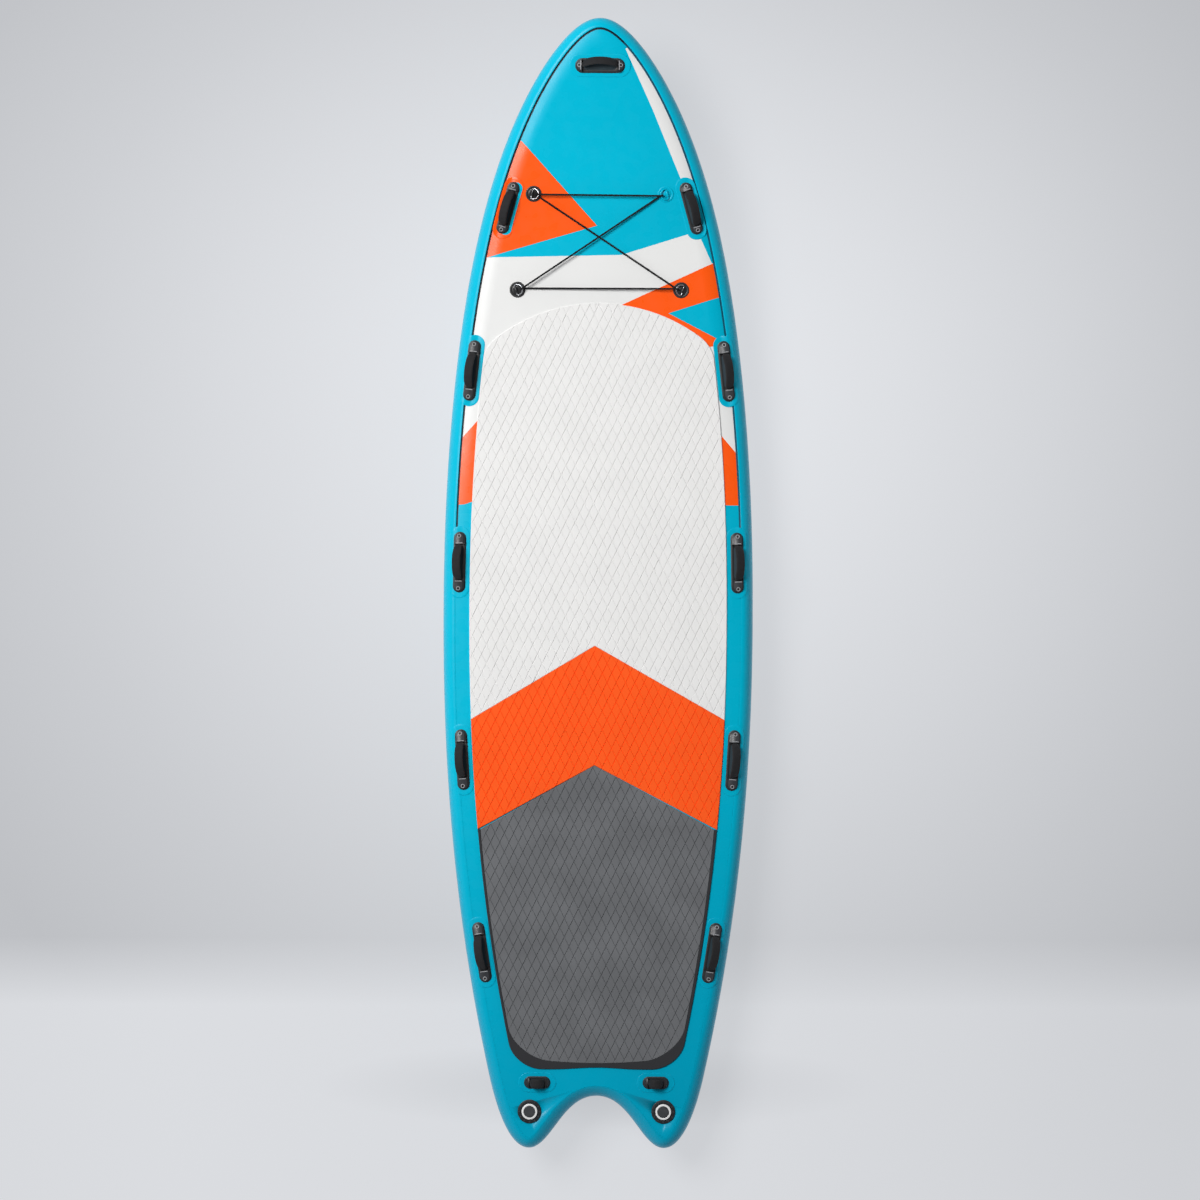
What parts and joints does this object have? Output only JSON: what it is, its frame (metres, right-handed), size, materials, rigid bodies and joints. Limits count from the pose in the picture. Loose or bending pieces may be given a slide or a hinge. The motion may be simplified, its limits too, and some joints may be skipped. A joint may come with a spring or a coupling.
{
  "type": "inflatable stand-up paddleboard",
  "caption": "Large inflatable stand-up paddleboard with a swallow tail, a padded deck, hinged carry handles, lashing rings with a laced cord, inflation valves and fins.",
  "frame": {"origin": "on the ground at the fin tips, under the middle of the board's box", "axes": "+Y towards the nose, +Z out of the deck, +X to the right of someone who faces the nose"},
  "size_m": [1.18, 4.268, 0.5033],
  "materials": {
    "coated_teal": "semi-gloss coated fabric",
    "base_cloth": "raw polyester base cloth and yarn",
    "eva_white": "embossed closed-cell foam",
    "eva_orange": "embossed closed-cell foam",
    "eva_grey": "embossed closed-cell foam",
    "eva_dark": "closed-cell foam",
    "black_rubber": "moulded soft plastic, matte",
    "grip_foam": "padded grip, matte",
    "cord_black": "braided elastic cord",
    "valve_white": "moulded plastic",
    "valve_dark": "moulded plastic",
    "stainless": "polished stainless steel",
    "fin_black": "moulded plastic"
  },
  "bodies": {
    "board": {"rail_band": "coated_teal", "deck_skin": "coated_teal", "bottom_skin": "coated_teal", "drop_stitch_core": "base_cloth", "pad_front": "eva_white", "pad_middle": "eva_orange", "pad_rear": "eva_grey", "pad_border": "eva_dark", "handle_base_nose": "black_rubber", "handle_base_left_1": "black_rubber", "handle_base_left_2": "black_rubber", "handle_base_left_3": "black_rubber", "handle_base_left_4": "black_rubber", "handle_base_left_5": "black_rubber", "handle_base_right_1": "black_rubber", "handle_base_right_2": "black_rubber", "handle_base_right_3": "black_rubber", "handle_base_right_4": "black_rubber", "handle_base_right_5": "black_rubber", "handle_base_tail_left": "black_rubber", "handle_base_tail_right": "black_rubber", "ring_patch_front_left": "black_rubber", "ring_patch_front_right": "coated_teal", "ring_patch_rear_left": "black_rubber", "ring_patch_rear_right": "black_rubber", "bungee_cord": "cord_black", "valve_body_left": "valve_dark", "valve_body_right": "valve_dark", "valve_clamp_left": "valve_dark", "valve_clamp_right": "valve_dark", "valve_spring_left": "stainless", "valve_spring_right": "stainless", "fin_box": "black_rubber", "fin_side_left": "fin_black", "fin_side_right": "fin_black"},
    "grip_nose": {"handle_grip_nose": "grip_foam"},
    "grip_left_1": {"handle_grip_left_1": "grip_foam"},
    "grip_left_2": {"handle_grip_left_2": "grip_foam"},
    "grip_left_3": {"handle_grip_left_3": "grip_foam"},
    "grip_left_4": {"handle_grip_left_4": "grip_foam"},
    "grip_left_5": {"handle_grip_left_5": "grip_foam"},
    "grip_right_1": {"handle_grip_right_1": "grip_foam"},
    "grip_right_2": {"handle_grip_right_2": "grip_foam"},
    "grip_right_3": {"handle_grip_right_3": "grip_foam"},
    "grip_right_4": {"handle_grip_right_4": "grip_foam"},
    "grip_right_5": {"handle_grip_right_5": "grip_foam"},
    "grip_tail_left": {"handle_grip_tail_left": "grip_foam"},
    "grip_tail_right": {"handle_grip_tail_right": "grip_foam"},
    "ring_front_left": {"ring_front_left": "stainless"},
    "ring_front_right": {"ring_front_right": "stainless"},
    "ring_rear_left": {"ring_rear_left": "stainless"},
    "ring_rear_right": {"ring_rear_right": "stainless"},
    "valve_collar_left": {"valve_collar_left": "valve_white"},
    "valve_cap_left": {"valve_cap_left": "valve_dark"},
    "valve_poppet_left": {"valve_poppet_left": "valve_white"},
    "valve_collar_right": {"valve_collar_right": "valve_white"},
    "valve_cap_right": {"valve_cap_right": "valve_dark"},
    "valve_poppet_right": {"valve_poppet_right": "valve_white"},
    "fin_centre": {"fin_centre": "fin_black"},
    "fin_lock": {"fin_lock": "black_rubber"}
  },
  "joints": [
    {"name": "grip_swing_nose", "type": "hinge", "parent": "board", "child": "grip_nose", "pos_m": [0, 1.94957, 0.46498], "axis": [1, 0, 0], "range_deg": [-12, 88]},
    {"name": "grip_swing_left_1", "type": "hinge", "parent": "board", "child": "grip_left_1", "pos_m": [-0.34441, 1.43012, 0.36372], "axis": [0.2647, 0.953, 0.1475], "range_deg": [-30, 70]},
    {"name": "grip_swing_left_2", "type": "hinge", "parent": "board", "child": "grip_left_2", "pos_m": [-0.48075, 0.82233, 0.30123], "axis": [0.1121, 0.9923, 0.0523], "range_deg": [-30, 70]},
    {"name": "grip_swing_left_3", "type": "hinge", "parent": "board", "child": "grip_left_3", "pos_m": [-0.52583, 0.09695, 0.2912], "axis": [0.0183, 0.9998, 0], "range_deg": [-30, 70]},
    {"name": "grip_swing_left_4", "type": "hinge", "parent": "board", "child": "grip_left_4", "pos_m": [-0.51281, -0.65198, 0.2912], "axis": [-0.0569, 0.9984, 0], "range_deg": [-30, 70]},
    {"name": "grip_swing_left_5", "type": "hinge", "parent": "board", "child": "grip_left_5", "pos_m": [-0.43567, -1.38195, 0.2912], "axis": [-0.1526, 0.9883, 0], "range_deg": [-30, 70]},
    {"name": "grip_swing_right_1", "type": "hinge", "parent": "board", "child": "grip_right_1", "pos_m": [0.34441, 1.43012, 0.36372], "axis": [0.2647, -0.953, -0.1475], "range_deg": [-30, 70]},
    {"name": "grip_swing_right_2", "type": "hinge", "parent": "board", "child": "grip_right_2", "pos_m": [0.48075, 0.82233, 0.30123], "axis": [0.1121, -0.9923, -0.0523], "range_deg": [-30, 70]},
    {"name": "grip_swing_right_3", "type": "hinge", "parent": "board", "child": "grip_right_3", "pos_m": [0.52583, 0.09695, 0.2912], "axis": [0.0183, -0.9998, 0], "range_deg": [-30, 70]},
    {"name": "grip_swing_right_4", "type": "hinge", "parent": "board", "child": "grip_right_4", "pos_m": [0.51281, -0.65198, 0.2912], "axis": [-0.0569, -0.9984, 0], "range_deg": [-30, 70]},
    {"name": "grip_swing_right_5", "type": "hinge", "parent": "board", "child": "grip_right_5", "pos_m": [0.43567, -1.38195, 0.2912], "axis": [-0.1526, -0.9883, 0], "range_deg": [-30, 70]},
    {"name": "grip_swing_tail_left", "type": "hinge", "parent": "board", "child": "grip_tail_left", "pos_m": [-0.22467, -1.875, 0.2912], "axis": [1, 0, 0], "range_deg": [-50, 50]},
    {"name": "grip_swing_tail_right", "type": "hinge", "parent": "board", "child": "grip_tail_right", "pos_m": [0.22467, -1.875, 0.2912], "axis": [1, 0, 0], "range_deg": [-50, 50]},
    {"name": "ring_swing_front_left", "type": "hinge", "parent": "board", "child": "ring_front_left", "pos_m": [-0.2543, 1.48469, 0.36682], "axis": [0.2805, 0.9468, 0.1575], "range_deg": [-2, 2]},
    {"name": "ring_swing_front_right", "type": "hinge", "parent": "board", "child": "ring_front_right", "pos_m": [0.2543, 1.48469, 0.36682], "axis": [0.2805, -0.9468, -0.1575], "range_deg": [-2, 2]},
    {"name": "ring_swing_rear_left", "type": "hinge", "parent": "board", "child": "ring_rear_left", "pos_m": [-0.31503, 1.12523, 0.31911], "axis": [-0.2805, 0.955, 0.0964], "range_deg": [-2, 2]},
    {"name": "ring_swing_rear_right", "type": "hinge", "parent": "board", "child": "ring_rear_right", "pos_m": [0.31503, 1.12523, 0.31911], "axis": [-0.2805, -0.955, -0.0964], "range_deg": [-2, 2]},
    {"name": "collar_lift_left", "type": "slide", "parent": "board", "child": "valve_collar_left", "axis": [0, 0, 1], "range_m": [0, 0.03]},
    {"name": "cap_swing_left", "type": "hinge", "parent": "valve_collar_left", "child": "valve_cap_left", "pos_m": [-0.25352, -1.9629, 0.29], "axis": [-1, 0, 0], "range_deg": [0, 90]},
    {"name": "poppet_press_left", "type": "slide", "parent": "board", "child": "valve_poppet_left", "axis": [0, 0, -1], "range_m": [0, 0.006], "stiffness_N_per_m": 400, "springref_m": -0.004, "deforming": ["valve_spring_left"]},
    {"name": "collar_lift_right", "type": "slide", "parent": "board", "child": "valve_collar_right", "axis": [0, 0, 1], "range_m": [0, 0.03]},
    {"name": "cap_swing_right", "type": "hinge", "parent": "valve_collar_right", "child": "valve_cap_right", "pos_m": [0.25352, -1.9629, 0.29], "axis": [-1, 0, 0], "range_deg": [0, 90]},
    {"name": "poppet_press_right", "type": "slide", "parent": "board", "child": "valve_poppet_right", "axis": [0, 0, -1], "range_m": [0, 0.006], "stiffness_N_per_m": 400, "springref_m": -0.004, "deforming": ["valve_spring_right"]},
    {"name": "fin_slide", "type": "slide", "parent": "board", "child": "fin_centre", "axis": [0, -1, 0], "range_m": [0, 0.24]},
    {"name": "lock_slide", "type": "slide", "parent": "board", "child": "fin_lock", "axis": [0, -1, 0], "range_m": [0, 0.3]}
  ],
  "couplings": [
    {"joint": "lock_slide", "follows": "fin_slide", "ratio": 1.25}
  ]
}
